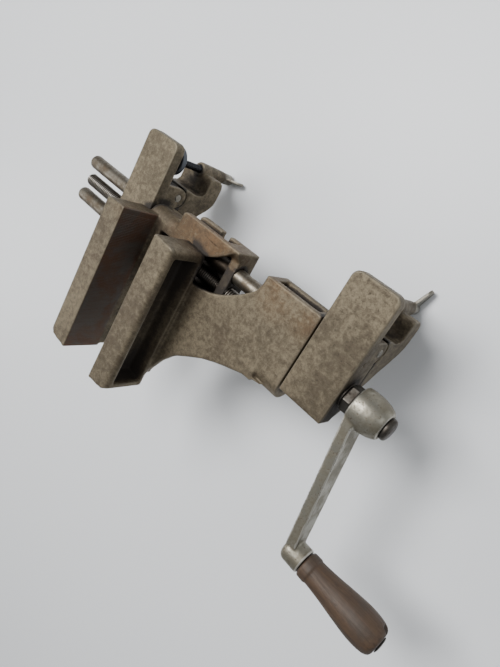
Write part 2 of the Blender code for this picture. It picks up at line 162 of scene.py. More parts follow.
class Tree:
    def __init__(self, tree):
        self.tree = tree

    def add(self, kind, settings=None, sockets=None, output=0):
        node = self.tree.nodes.new(kind)
        for key, value in (settings or {}).items():
            setattr(node, key, value)
        for key, value in (sockets or {}).items():
            self.give(node.inputs[key], value)
        return Wire(self, node.outputs[output])

    def give(self, socket, value):
        if isinstance(value, Wire):
            self.tree.links.new(value.socket, socket)
        else:
            socket.default_value = value

    def mix(self, amount, first, second):
        """A colour between two colours."""
        return self.add("ShaderNodeMix", {"data_type": "RGBA"}, {0: amount, 6: first, 7: second}, 2)

    def noise(self, place, scale, detail=4.0, roughness=0.55, distortion=0.0):
        return self.add("ShaderNodeTexNoise", {}, {"Vector": place, "Scale": scale, "Detail": detail,
                                                   "Roughness": roughness, "Distortion": distortion})

    def attribute(self, name):
        return self.add("ShaderNodeAttribute", {"attribute_name": name}, {}, "Fac")


def colour(red, green, blue):
    return (red, green, blue, 1.0)


print("wires carry sums, trees carry nodes")

# %% [markdown]
# ## Materials
# Each finish is one function.  All of them read Object coordinates, in metres, so a noise scale of 50
# makes patches about 20 mm across.  Castings also read two values stored on their points: ridge is
# high where an edge stands proud and has been rubbed, and the other is high where a point is sheltered,
# which paints shade into hollows and between parts; on the carriage's lower part it stands for grease as
# well.

# %% Start a material


def new_material(name):
    made = bpy.data.materials.new(name)
    made.use_nodes = True
    tree = Tree(made.node_tree)
    shader = made.node_tree.nodes["Principled BSDF"]
    place = tree.add("ShaderNodeTexCoord", {}, {}, "Object")
    return made, tree, shader, place


def connect(tree, shader, base, roughness, metallic, height=None, depth=0.0001, strength=1.0):
    tree.give(shader.inputs["Base Color"], base)
    tree.give(shader.inputs["Roughness"], roughness)
    tree.give(shader.inputs["Metallic"], metallic)
    if height is not None:
        bump = tree.add("ShaderNodeBump", {}, {"Height": height, "Distance": depth,
                                               "Strength": strength}, "Normal")
        tree.give(shader.inputs["Normal"], bump)


def stretched(tree, place, turn, scale):
    """The same coordinates, turned and squeezed, for marks that run one way."""
    return tree.add("ShaderNodeMapping", {}, {"Vector": place, "Rotation": turn, "Scale": scale},
                    "Vector")


print("materials start from object coordinates")

# %% [markdown]
# ### Old cast aluminium
# Sand-cast aluminium goes a dull warm grey.  Oil and dust stain it brown in patches and fill its sandy
# skin with dark specks.  Its hollows are painted near black as shade, and the brown is deepened there.
# Edges and high spots stay bare and a little brighter.  One function makes it, with settings for stain
# and brightness, because the left clamp block is cleaner than the rest.
#
# Each mark is a mask: a noise, or a sum of noises, that is 0 where the mark is missing and 1 where it
# is full.  The colours are then laid one over another, from the metal up to the painted shade in the
# hollows and the crust on the gripping faces.

# %% Cast aluminium
PALE_CAST = (0.190, 0.156, 0.103)
GREY_CAST = (0.105, 0.087, 0.057)
GREY_CRUST = colour(0.115, 0.100, 0.085)
RED_CRUST = colour(0.125, 0.068, 0.042)
BROWN_STAIN = colour(0.072, 0.043, 0.022)
ORANGE_STAIN = colour(0.150, 0.085, 0.038)
SAND_DIRT = colour(0.048, 0.034, 0.021)
# Near black: real dirt in specks, scratches and carriage grease, and painted shade in hollows and thread
# roots
DARK_DIRT_AND_SHADE = colour(0.014, 0.010, 0.007)
RUBBED = colour(0.30, 0.27, 0.205)


def cast_aluminium(name, stain, bright):
    made, tree, shader, place = new_material(name)
    ridge = tree.attribute("ridge")
    shade_and_grease = tree.attribute("shade_and_grease")
    crust = tree.attribute("crust")
    stained = tree.attribute("stained")
    patches = tree.noise(place, 34.0, 5.0, 0.62, 0.5)
    blotches = tree.noise(place, 230.0, 7.0, 0.72, 0.3)
    grain = tree.noise(place, 1250.0, 3.0, 0.6)
    pits = tree.noise(place, 820.0, 3.0, 0.6)
    sand = tree.noise(place, 300.0, 9.0, 0.88)
    clouds = tree.noise(place, 13.0, 3.0, 0.5)
    down = stretched(tree, place, (0.5, 0.2, 0.9), (70.0, 1000.0, 1000.0))
    over = stretched(tree, place, (0.2, 0.1, -0.5), (90.0, 1300.0, 1300.0))
    streaks = tree.noise(down, 1.0, 3.0, 0.7)
    cross = tree.noise(over, 1.0, 3.0, 0.7)

    tone = (blotches * 0.6 + patches * 0.5 + clouds * 0.5).between(0.66, 0.94)
    # brown stain, deepened where a point is sheltered: partly stain, partly painted shade
    brown = (patches * 1.3 + blotches * 0.9 + shade_and_grease * 0.9 + stain).between(1.06, 1.66)
    specks = pits.between(0.55, 0.74) * blotches.between(0.36, 0.62)
    mottled = (sand * 1.3 + blotches * 0.5).between(0.72, 1.12)
    scratch = (streaks.between(0.60, 0.70) + cross.between(0.62, 0.70)) * patches.between(0.45, 0.6)
    # painted shade: near black where a point is sheltered
    hollow_shade = (shade_and_grease * 2.8 + blotches * 0.3 - 0.72).between(0.0, 0.58)
    worn = (ridge * 0.7 + grain * 0.45 + blotches * 0.8 - 0.55).between(0.45, 0.95)

    pale, grey = (colour(*[bright * c for c in metal]) for metal in (PALE_CAST, GREY_CAST))
    base = tree.mix(tone, pale, grey)
    base = tree.mix(brown * 0.72, base, BROWN_STAIN)
    base = tree.mix(stained * (blotches * 1.5 + patches).between(0.85, 1.5), base, ORANGE_STAIN)
    base = tree.mix(mottled * 0.62, base, SAND_DIRT)
    base = tree.mix(specks * 0.45, base, DARK_DIRT_AND_SHADE)
    base = tree.mix(scratch * 0.35, base, DARK_DIRT_AND_SHADE)
    base = tree.mix(worn * 0.30, base, RUBBED)
    # lay the painted shade into the hollows
    base = tree.mix(hollow_shade * 0.93, base, DARK_DIRT_AND_SHADE)
    base = tree.mix(crust, base, tree.mix(patches.between(0.4, 0.6), GREY_CRUST, RED_CRUST))
    roughness = 0.50 + blotches * 0.18 + hollow_shade * 0.15 - worn * 0.10
    metallic = 0.62 - brown * 0.26 - hollow_shade * 0.34
    height = grain * 0.4 + blotches * 0.9 + sand * 0.8 - specks * 0.7 - scratch * 0.3
    connect(tree, shader, base, roughness, metallic, height, 0.0002)
    return made


cast_grey = cast_aluminium("cast_aluminium_grey", 0.0, 1.0)
cast_pale = cast_aluminium("cast_aluminium_pale", -0.25, 1.22)
print("cast aluminium, grey and pale")

# %% [markdown]
# ### The crank's aluminium
# The crank is handled every time the vise is used, so its casting is smoother and brighter, with
# only faint grey clouds.  Its rubbed edges shine.

# %% Handled aluminium
BRIGHT_HANDLED = colour(0.29, 0.275, 0.225)
CLOUDY_HANDLED = colour(0.175, 0.158, 0.118)
HANDLED_SPECKS = colour(0.10, 0.07, 0.045)
POLISHED_EDGE = colour(0.62, 0.60, 0.54)


def handled_aluminium(name):
    made, tree, shader, place = new_material(name)
    ridge = tree.attribute("ridge")
    shade_and_grease = tree.attribute("shade_and_grease")
    clouds = tree.noise(place, 90.0, 5.0, 0.65)
    grain = tree.noise(place, 1500.0, 3.0, 0.6)
    pits = tree.noise(place, 520.0, 3.0, 0.55)
    dull = clouds.between(0.36, 0.62)
    specks = pits.between(0.58, 0.68)
    worn = (ridge * 1.3 + grain * 0.9 - 0.55).between(0.4, 0.9)
    base = tree.mix(dull, BRIGHT_HANDLED, CLOUDY_HANDLED)
    base = tree.mix(specks * 0.6, base, HANDLED_SPECKS)
    # painted shade: darker where a point is sheltered
    base = tree.mix((shade_and_grease * 1.5 - 0.35).between(0.1, 0.8), base, DARK_DIRT_AND_SHADE)
    base = tree.mix(worn * 0.6, base, POLISHED_EDGE)
    roughness = 0.36 + dull * 0.18 + specks * 0.1 - worn * 0.12
    connect(tree, shader, base, roughness, 0.9 - dull * 0.12, grain * 0.4 + clouds - specks * 0.5, 0.0001)
    return made


crank_metal = handled_aluminium("handled_aluminium")
print("handled aluminium")

# %% [markdown]
# ### Steel, five ways
# The guide rods are ground bar with a brown film.  The lead screw's thread has bright crests.  The
# clamp screws are almost black with oil, and the collar, washer and nut are a dull brown.  Pins and
# wing handles were plated, and are grey with rust freckles.  A bronze nut sits inside the sliding
# carriage.  They share one recipe: a clean colour, a film over part of it, how much the film covers,
# how rough the metal is, and the colour of its freckles.

# %% Steels and bronze


def old_metal(name, clean, film, cover, rough, darkening):
    """clean shows through a film that covers the given share of it."""
    made, tree, shader, place = new_material(name)
    clouds = tree.noise(place, 130.0, 5.0, 0.65)
    fine = tree.noise(place, 900.0, 4.0, 0.6)
    rings = tree.noise(stretched(tree, place, (0.0, 0.0, 0.0), (2600.0, 120.0, 120.0)), 1.0, 2.0, 0.5)
    groove = tree.attribute("groove")
    filmed = (clouds + fine * 0.4 + cover).between(1.0, 1.35)
    freckles = (fine * 0.6 + clouds * 0.6).between(0.70, 0.80)
    base = tree.mix(filmed, clean, film)
    base = tree.mix(freckles * 0.8, base, darkening)
    # the groove value paints shade into thread roots, and grease with shade where the carriage covers a bar
    base = tree.mix(groove, base, DARK_DIRT_AND_SHADE)
    roughness = rough + filmed * 0.14 + freckles * 0.15 - rings * 0.06
    connect(tree, shader, base, roughness, 0.96 - freckles * 0.4, rings * 0.5 + fine * 0.5, 0.00003)
    return made


RUST = colour(0.13, 0.07, 0.04)
OILY_BROWN = colour(0.06, 0.038, 0.024)
rod_steel = old_metal("guide_rod_steel", colour(0.21, 0.19, 0.155), colour(0.105, 0.084, 0.060),
                      0.50, 0.42, RUST)
screw_steel = old_metal("lead_screw_steel", colour(0.30, 0.28, 0.25), colour(0.17, 0.14, 0.11),
                        0.42, 0.34, DARK_DIRT_AND_SHADE)
dull_steel = old_metal("dull_brown_steel", colour(0.085, 0.078, 0.068), colour(0.048, 0.039, 0.031),
                       0.42, 0.46, DARK_DIRT_AND_SHADE)
black_steel = old_metal("oiled_black_steel", colour(0.070, 0.076, 0.086), colour(0.036, 0.035, 0.036),
                        0.35, 0.40, OILY_BROWN)
plated_steel = old_metal("worn_plated_steel", colour(0.25, 0.235, 0.20), colour(0.14, 0.12, 0.092),
                         0.42, 0.38, RUST)
bronze = old_metal("nut_bronze", colour(0.40, 0.26, 0.12), colour(0.22, 0.14, 0.07), 0.3, 0.38, DARK_DIRT_AND_SHADE)
print("rod, screw, dull, black and plated steel, and bronze")

# %% [markdown]
# ### The wooden grip
# The grip is turned from a close-grained hardwood.  Its varnish has gone, and hands have darkened it.
# The grain runs along the grip, so the noise is squeezed hard across it and hardly at all along it.

# %% Wood


def turned_wood(name):
    made, tree, shader, place = new_material(name)
    along = stretched(tree, place, (0.0, 0.05, 0.03), (34.0, 560.0, 560.0))
    bands = stretched(tree, place, (0.0, 0.03, 0.02), (9.0, 150.0, 150.0))
    grain = tree.noise(along, 1.0, 5.0, 0.7, 0.6)
    figure = tree.noise(bands, 1.0, 4.0, 0.6, 1.2)
    pores = tree.noise(stretched(tree, place, (0.0, 0.05, 0.03), (120.0, 2600.0, 2600.0)), 1.0, 2.0, 0.5)
    hands = tree.noise(place, 70.0, 4.0, 0.6)
    dark = grain.between(0.42, 0.66)
    base = tree.mix(figure.between(0.35, 0.65), colour(0.074, 0.042, 0.022), colour(0.047, 0.027, 0.014))
    base = tree.mix(dark * 0.5, base, colour(0.027, 0.016, 0.010))
    base = tree.mix(hands.between(0.45, 0.68) * 0.5, base, colour(0.034, 0.026, 0.019))
    base = tree.mix(pores.between(0.62, 0.72) * 0.55, base, colour(0.024, 0.015, 0.010))
    base = tree.mix(tree.attribute("chipped") * 0.8, base, colour(0.03, 0.021, 0.015))
    roughness = 0.60 + dark * 0.1 - hands * 0.08
    connect(tree, shader, base, roughness, 0.0, grain * 0.6 - pores * 0.6, 0.0002)
    return made


grip_wood = turned_wood("turned_wood")
print("turned wood")

# %% [markdown]
# ### The gripping faces
# The inner faces of the jaws are cut with fine serrations.  Years of work have packed them with a
# dark brown crust, and only the crests shine a little.

# %% Crusted serrations


def crusted_metal(name):
    made, tree, shader, place = new_material(name)
    clouds = tree.noise(place, 60.0, 5.0, 0.65)
    fine = tree.noise(place, 700.0, 4.0, 0.65)
    red = clouds.between(0.40, 0.62)
    pale = (fine * 0.8 + clouds * 0.5).between(0.72, 0.86)
    base = tree.mix(red, GREY_CRUST, RED_CRUST)
    base = tree.mix(pale * 0.5, base, colour(0.19, 0.165, 0.135))
    connect(tree, shader, base, 0.62 - pale * 0.12, 0.35 + pale * 0.3, fine, 0.00022)
    return made


grip_crust = crusted_metal("crusted_gripping_face")
print("crusted gripping faces")

# %% [markdown]
# ## Making castings from sharp solids
# A casting has no sharp edge anywhere: the sand can't hold one.  A Bevel modifier needs tidy edge
# loops, and a solid made by cutting and joining has none.  So each solid is remeshed into small even
# squares and then smoothed a few times, which rounds every edge by about a millimetre and fills every
# inside corner, as a foundry fillet does.

# %% Copy, remesh and smooth a solid


def shown(name, mesh, body, finish, nodes):
    """Put a finished mesh in the scene, on its body, in place of the solids it stands for."""
    piece = bpy.data.objects.new(name, mesh)
    mesh.name = name
    bpy.context.scene.collection.objects.link(piece)
    mesh.materials.clear()
    mesh.materials.append(finish)
    mesh.polygons.foreach_set("use_smooth", [True] * len(mesh.polygons))
    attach(piece, body)
    if nodes:
        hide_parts(*nodes)
    return piece


def welded_copy(node):
    """The solid's triangles with their shared corners joined."""
    bm = bmesh.new()
    bm.from_mesh(frame["nodes"][node].data)
    bmesh.ops.remove_doubles(bm, verts=bm.verts, dist=2e-6)
    mesh = bpy.data.meshes.new(node + "_welded")
    bm.to_mesh(mesh)
    bm.free()
    return mesh


def with_modifiers(mesh, *steps):
    """Run modifiers on a mesh and return the result as a plain mesh."""
    holder = bpy.data.objects.new("holder", mesh)
    bpy.context.scene.collection.objects.link(holder)
    for kind, settings in steps:
        modifier = holder.modifiers.new(kind, kind)
        for key, value in settings.items():
            setattr(modifier, key, value)
    bpy.context.view_layer.update()
    graph = bpy.context.evaluated_depsgraph_get()
    result = bpy.data.meshes.new_from_object(holder.evaluated_get(graph))
    bpy.data.objects.remove(holder)
    return result


def even_squares(mesh, size, rounds):
    steps = [("REMESH", {"mode": "VOXEL", "voxel_size": size * MM, "adaptivity": 0.0})]
    if rounds:
        steps.append(("SMOOTH", {"factor": 0.5, "iterations": rounds}))
    return with_modifiers(mesh, *steps)


print("castings are remeshed, then smoothed")

# %% [markdown]
# ## Wear, dirt and painted shade
# Ridge is worked out from the mesh: a point that stands out from the average of its neighbours is on
# an outer edge.  The painted shade is worked out with rays: from each point of a coarse copy, rays go out
# in a fan, and the share that soon hit something says how sheltered that point is, and so how dark it is
# painted.  A rounded corner lies a little inside its sharp solid, so a ray may start inside it.  Such a ray
# first meets a face from behind, and is let through.

# %% Make the fan and the target
GOLDEN_ANGLE = 2.39996
FAN_RAYS = 18
LIFT_OFF = 1.2 * MM


def fan_ray(i):
    """Even spread over a dome: each ray is a golden angle on from the last, and a step higher."""
    height = 0.12 + 0.85 * (i / (FAN_RAYS - 1))
    flat = math.sqrt(1 - height * height)
    return Vector((math.cos(i * GOLDEN_ANGLE) * flat, math.sin(i * GOLDEN_ANGLE) * flat, height))


FAN = [fan_ray(i) for i in range(FAN_RAYS)]


def whole_vise():
    corners, faces = [], []
    for node in sorted(frame["nodes"]):
        mesh = frame["nodes"][node].data
        base = len(corners)
        corners.extend(v.co.copy() for v in mesh.vertices)
        faces.extend([base + i for i in p.vertices] for p in mesh.polygons)
    return BVHTree.FromPolygons(corners, faces)


def shelter(point, normal, everything, reach):
    """The share of rays that meet a surface from outside; a ray leaving a solid carries on."""
    turn = normal.to_track_quat("Z", "Y")
    total = 0.0
    for ray in FAN:
        heading = turn @ ray
        start = point + normal * LIFT_OFF
        spent = 0.0
        for _ in range(3):
            where, face, _, gone = everything.ray_cast(start, heading, reach - spent)
            if where is None:
                break
            spent += gone
            if face.dot(heading) < 0.0:
                total += 1.0 - 0.6 * spent / reach
                break
            start = where + heading * 0.02 * MM
    return total / len(FAN)


everything = whole_vise()
print("shelter is found with", len(FAN), "rays from each point")

# %% Store ridge, and painted shade with grease, on a mesh


def store(mesh, name, values):
    layer = mesh.attributes.new(name, "FLOAT", "POINT")
    layer.data.foreach_set("value", np.asarray(values, np.float32))


def point_array(mesh, what="co"):
    flat = np.zeros(len(mesh.vertices) * 3, np.float32)
    mesh.vertices.foreach_get(what, flat)
    return flat.reshape(-1, 3)


def neighbour_mean(values, edges, count):
    total = np.zeros_like(values)
    for column in range(values.shape[1]):
        total[:, column] = (np.bincount(edges[:, 0], values[edges[:, 1], column], len(values))
                            + np.bincount(edges[:, 1], values[edges[:, 0], column], len(values)))
    return total / count[:, None]


def store_ridge(mesh, size):
    edges = np.zeros(len(mesh.edges) * 2, np.int32)
    mesh.edges.foreach_get("vertices", edges)
    edges = edges.reshape(-1, 2)
    count = np.maximum(np.bincount(edges.ravel(), minlength=len(mesh.vertices)), 1)
    points = point_array(mesh).astype(float)
    normals = point_array(mesh, "normal").astype(float)
    proud = ((points - neighbour_mean(points, edges, count)) * normals).sum(1)[:, None]
    for _ in range(3):
        proud = neighbour_mean(proud, edges, count)
    store(mesh, "ridge", np.clip(proud[:, 0] / (0.05 * size * MM) - 0.25, 0.0, 1.0))


def store_shade_and_grease(mesh, solid, grease=None, size=2.6, reach=34.0 * MM):
    """Painted shade from the rays; below the height given as grease, the table side apart, it is thick, for
    grease and painted shade.
    """
    coarse = even_squares(solid, size, 0)
    tree = KDTree(len(coarse.vertices))
    found = []
    for i, vertex in enumerate(coarse.vertices):
        tree.insert(vertex.co, i)
        # a sheltered point gets more painted shade
        found.append(shelter(vertex.co, vertex.normal, everything, reach))
    tree.balance()
    values = []
    for vertex in mesh.vertices:
        near = tree.find_n(vertex.co, 3)
        weights = [1.0 / (n[2] + 0.4 * MM) for n in near]
        values.append(sum(found[n[1]] * w for n, w in zip(near, weights)) / sum(weights))
    # the carriage's lower part is darkened further, for grease and painted shade
    if grease is not None:
        points = point_array(mesh) / MM
        depth = (np.clip((grease - points[:, 2]) / 2.5, 0.0, 1.0)
                 * np.clip((screw_axis.y + 21.0 - points[:, 1]) / 4.0, 0.0, 1.0))
        values = np.maximum(values, 0.42 * depth)
    store(mesh, "shade_and_grease", values)


print("ridge and soot are stored on points")

# %% [markdown]
# ## The castings
# Six castings make the body of the vise: two jaws, two clamp blocks and two clamp arms.  The crank is
# the seventh.  A small blind hole, drilled in the right block's end face, is cut before the remesh so
# that its rim is rounded like the rest.  Marks that belong to one place, such as the crust on a
# gripping face or an orange stain, are stored on the points by their distance from it.

# %% Drill a hole, and mark places
CRUST_FROM, CRUST_TO = 13.2, 46.4


def drilled(mesh, start, direction, radius, depth):
    """Cut a blind hole; start is on the surface and direction points into the metal."""
    bm = bmesh.new()
    bmesh.ops.create_cone(bm, cap_ends=True, segments=24, radius1=radius * MM, radius2=radius * MM,
                          depth=2 * depth * MM)
    turn = Vector(direction).to_track_quat("Z", "Y").to_matrix().to_4x4()
    bm.transform(Matrix.Translation(Vector(start) * MM) @ turn)
    cutter_mesh = bpy.data.meshes.new("drill")
    bm.to_mesh(cutter_mesh)
    bm.free()
    cutter = bpy.data.objects.new("drill", cutter_mesh)
    bpy.context.scene.collection.objects.link(cutter)
    how = {"operation": "DIFFERENCE", "object": cutter, "solver": "EXACT"}
    cut = with_modifiers(mesh, ("BOOLEAN", how))
    bpy.data.objects.remove(cutter)
    return cut


def store_crust(mesh, face_x, reach=1.1):
    """Mark the gripping face: points on its plane, a little inside the jaw's outline."""
    points = point_array(mesh) / MM
    near = np.clip((reach - np.abs(points[:, 0] - face_x)) / 0.5, 0.0, 1.0)
    above = np.clip((points[:, 2] - screw_axis.z - CRUST_FROM) / 0.8, 0.0, 1.0)
    below = np.clip((screw_axis.z + CRUST_TO - points[:, 2]) / 0.8, 0.0, 1.0)
    store(mesh, "crust", near * above * below)


def store_stain(mesh, places):
    """Orange stains: each is a centre from the screw's axis, a reach in millimetres and a strength."""
    points = point_array(mesh) / MM
    values = np.zeros(len(points))
    for (x, y, z), reach, strength in places:
        centre = np.array([x, screw_axis.y + y, screw_axis.z + z])
        away = np.linalg.norm(points - centre, axis=1)
        values = np.maximum(values, strength * np.clip(1.25 - away / reach, 0.0, 1.0))
    store(mesh, "stained", values)


def casting(node, finish, size, rounds, hole=None, gripping_face=None, stains=(), grease=None):
    """Remesh a solid in squares of the given size, smooth it, and store its wear, dirt and painted shade.
    """
    solid = welded_copy(node)
    if hole is not None:
        solid = drilled(solid, *hole)
    mesh = even_squares(solid, size, rounds)
    store_ridge(mesh, size)
    store_stain(mesh, stains)
    # painted shade where the casting is sheltered, and grease with shade on the carriage
    store_shade_and_grease(mesh, solid, grease)
    if gripping_face is not None:
        store_crust(mesh, gripping_face)
    body = frame["nodes"][node]["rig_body"]
    piece = shown(node + "_casting", mesh, body, finish, [node])
    print("%-26s %6d faces" % (piece.name, len(mesh.polygons)))
    return piece


print("castings can be drilled, crusted and stained")

# %% Places on the castings
JAW_GAP = 37.0
block_low, block_high = span("right_clamp_block")
seam = block_low.x
wall = span("moving_jaw")[1].x
fixed_face = span("fixed_jaw")[0].x
moving_face = fixed_face - JAW_GAP
end_hole = ((block_high.x, screw_axis.y + 23.0, screw_axis.z + 4.0), (-1.0, 0.0, 0.0), 1.1, 4.0)
body_stains = (((seam - 34.0, 30.0, 12.0), 20.0, 0.75), ((seam - 8.0, 24.0, 12.0), 15.0, 0.6))
carriage_stains = (((wall - 22.0, 28.0, 12.0), 26.0, 1.0), ((wall - 45.0, 20.0, 12.0), 24.0, 0.9),
                   ((moving_face, 18.0, 40.0), 14.0, 0.4))
grease_top = screw_axis.z + 9.0
print("jaws stand %.1f mm apart" % JAW_GAP)

# %% Cast the body of the vise
casting("fixed_jaw", cast_grey, 0.72, 14, None, fixed_face, body_stains)
casting("moving_jaw", cast_grey, 0.72, 12, None, moving_face, carriage_stains, grease_top)
casting("right_clamp_block", cast_grey, 0.6, 10, end_hole)
casting("left_clamp_block", cast_pale, 0.6, 10)
casting("right_clamp_arm", cast_grey, 0.6, 8)
casting("left_clamp_arm", cast_grey, 0.6, 8)
casting("crank_arm", crank_metal, 0.55, 6)

# %% [markdown]
# ## Wing handles
# Each clamp screw is turned by a flat two-eared handle.  It is a small casting too, so the same steps
# make it, with finer squares because it is only a few millimetres thick.

# %% Wing handles
for side in ("left", "right"):
    casting(side + "_wing_handle", plated_steel, 0.34, 3)

# %% [markdown]
# ## Turned parts
# Rods, washers, nuts and pads come off a lathe.  Their profile is a short list of corners, given as
# the distance along the axis and the radius.  A turner breaks every corner with a file, so each corner
# is replaced by a small curve before the profile is spun.

# %% Spin a profile


def softened(profile, radius):
    """Replace each inner corner of the profile with a short curve."""
    points = [Vector(p) for p in profile]
    out = [points[0]]
    for before, corner, after in zip(points, points[1:], points[2:]):
        back = min(radius, (before - corner).length * 0.45)
        on = min(radius, (after - corner).length * 0.45)
        start = corner + (before - corner).normalized() * back
        end = corner + (after - corner).normalized() * on
        for t in (0.0, 0.2, 0.5, 0.8, 1.0):
            out.append(start * (1 - t) ** 2 + corner * 2 * t * (1 - t) + end * t * t)
    out.append(points[-1])
    return out


def spun(profile, axis, centre, segments=64):
    """Solid of revolution about a line through centre, along X or Z."""
    bm = bmesh.new()
    rings = []
    for along, radius in profile:
        if radius < 1e-4:
            point = (along, centre[1], centre[2]) if axis == "x" else (centre[0], centre[1], along)
            rings.append([bm.verts.new(Vector(point) * MM)])
            continue
        ring = []
        for i in range(segments):
            a = 2 * math.pi * i / segments
            across, up = radius * math.cos(a), radius * math.sin(a)
            point = ((along, centre[1] + across, centre[2] + up) if axis == "x"
                     else (centre[0] + across, centre[1] + up, along))
            ring.append(bm.verts.new(Vector(point) * MM))
        rings.append(ring)
    for first, second in zip(rings, rings[1:]):
        for i in range(segments):
            j = (i + 1) % segments
            corners = [first[i % len(first)], first[j % len(first)],
                       second[j % len(second)], second[i % len(second)]]
            unique = [c for k, c in enumerate(corners) if c not in corners[:k]]
            bm.faces.new(unique)
    bmesh.ops.recalc_face_normals(bm, faces=bm.faces)
    mesh = bpy.data.meshes.new("spun")
    bm.to_mesh(mesh)
    bm.free()
    return mesh


def closed(profile, radius):
    """A softened profile that starts and ends on the axis."""
    return softened([(profile[0][0], 0.0), *profile, (profile[-1][0], 0.0)], radius)


print("corners are broken before the profile is spun")

# %% [markdown]
# ### Guide rods
# The rods' far ends stand proud of the left block.  They are rounded over by about two millimetres.
# Under the sliding carriage they are painted dark, for old grease and as painted shade, so their profile
# has a ring of points every three millimetres, which can hold where the darkening starts and stops.

# %% Guide rods
RING_STEP = 3.0


def carriage_grease_and_shade(mesh):
    """How dark a bar is painted, for old grease and as painted shade: dark where the sliding carriage sits.
    """
    along = point_array(mesh)[:, 0] / MM
    low, high = span("moving_jaw")[0].x, wall
    return 0.94 * np.clip((along - low) / 4.0, 0.0, 1.0) * np.clip((high - along) / 3.0, 0.0, 1.0)


for node in ("table_side_rod", "jaw_side_rod"):
    low, high = span(node)
    radius = (high.z - low.z) / 2
    steps = [(low.x + 1.0 + i * RING_STEP, radius) for i in range(int((high.x - low.x) / RING_STEP))]
    outline = closed([(low.x, radius - 0.9), *steps, (high.x, radius)], 2.2)
    mesh = spun(outline, "x", middle(node), 72)
    # dark under the carriage: grease and painted shade
    store(mesh, "groove", carriage_grease_and_shade(mesh))
    rod = shown(node + "_bar", mesh, "frame", rod_steel, [node])
    print(rod.name, "%.1f mm across" % (2 * radius))

# %% [markdown]
# ## Threads
# A thread is a groove that climbs one pitch in each turn.  Geometry Nodes cut it with a sum: take a
# plain bar, find how many turns up each point is, take away its angle round the bar as a share of a
# turn, and fold the answer into a zigzag.  The zigzag moves the point in towards the axis.  The same
# tree cuts the lead screw and both clamp screws.

# %% A tree that cuts a thread


def thread_tree():
    group = bpy.data.node_groups.new("cut_thread", "GeometryNodeTree")
    group.interface.new_socket("Geometry", in_out="OUTPUT", socket_type="NodeSocketGeometry")
    for name, kind in (("Length", "NodeSocketFloat"), ("Radius", "NodeSocketFloat"),
                       ("Groove", "NodeSocketFloat"), ("Pitch", "NodeSocketFloat"),
                       ("Rings", "NodeSocketInt"), ("Finish", "NodeSocketMaterial")):
        group.interface.new_socket(name, in_out="INPUT", socket_type=kind)
    tree = Tree(group)
    entry = group.nodes.new("NodeGroupInput")
    value = {s.name: Wire(tree, s) for s in entry.outputs if s.name}
    bar = tree.add("GeometryNodeMeshCylinder", {}, {"Vertices": 28, "Side Segments": value["Rings"],
                                                    "Radius": value["Radius"], "Depth": value["Length"]})
    place = tree.add("GeometryNodeInputPosition")
    split = group.nodes.new("ShaderNodeSeparateXYZ")
    tree.give(split.inputs[0], place)
    x, y, z = (Wire(tree, s) for s in split.outputs)
    turns = z / value["Pitch"] - x.math("ARCTAN2", y, x) / (2 * math.pi)
    zigzag = turns.math("PINGPONG", turns, 0.5) * 2.0
    inward = zigzag * value["Groove"] / value["Radius"] * -1.0
    shift = tree.add("ShaderNodeCombineXYZ", {}, {0: x * inward, 1: y * inward, 2: 0.0})
    moved = tree.add("GeometryNodeSetPosition", {}, {"Geometry": bar, "Offset": shift})
    real = tree.add("GeometryNodeRealizeInstances", {}, {"Geometry": moved})
    done = tree.add("GeometryNodeSetMaterial", {}, {"Geometry": real, "Material": value["Finish"]})
    leave = group.nodes.new("NodeGroupOutput")
    tree.give(leave.inputs[0], done)
    return group


def run_tree(group, **values):
    """Run a Geometry Nodes tree on an empty mesh and return the plain mesh it makes."""
    holder = bpy.data.objects.new("holder", bpy.data.meshes.new("holder"))
    bpy.context.scene.collection.objects.link(holder)
    modifier = holder.modifiers.new("tree", "NODES")
    modifier.node_group = group
    sockets = {item.name: item.identifier for item in group.interface.items_tree if item.in_out == "INPUT"}
    for name, value in values.items():
        modifier[sockets[name]] = value
    bpy.context.view_layer.update()
    graph = bpy.context.evaluated_depsgraph_get()
    mesh = bpy.data.meshes.new_from_object(holder.evaluated_get(graph))
    bpy.data.objects.remove(holder)
    return mesh


def joined(*meshes):
    bm = bmesh.new()
    for mesh in meshes:
        bm.from_mesh(mesh)
    mesh = bpy.data.meshes.new("joined")
    bm.to_mesh(mesh)
    bm.free()
    return mesh


def thread_root_shade(mesh, radius, depth):
    """Painted shade in the bottom of the thread, darker towards the root; the bar is still on its own Z
    axis here.
    """
    points = point_array(mesh)
    inside = radius * MM - np.hypot(points[:, 0], points[:, 1])
    return np.clip(inside / (depth * MM) * 1.7 - 0.35, 0.0, 1.0) * 0.95


cut_thread = thread_tree()
print("thread tree has", len(cut_thread.nodes), "nodes")

# %% Lead screw
LEAD = 2.0
CREST = 5.4
THREAD_DEPTH = 0.9
low, high = span("lead_screw")
journal = span("right_clamp_block")[1].x
thread_start = low.x + 1.4
length = journal - thread_start
thread = run_tree(cut_thread, Length=length * MM, Radius=CREST * MM, Groove=THREAD_DEPTH * MM,
                  Pitch=LEAD * MM, Rings=int(length / LEAD * 8), Finish=screw_steel)
# painted shade in the thread roots
darkening = thread_root_shade(thread, CREST, THREAD_DEPTH)
centre = Vector(((thread_start + journal) / 2, screw_axis.y, screw_axis.z))
thread.transform(Matrix.Translation(centre * MM) @ Matrix.Rotation(math.radians(90), 4, "Y"))
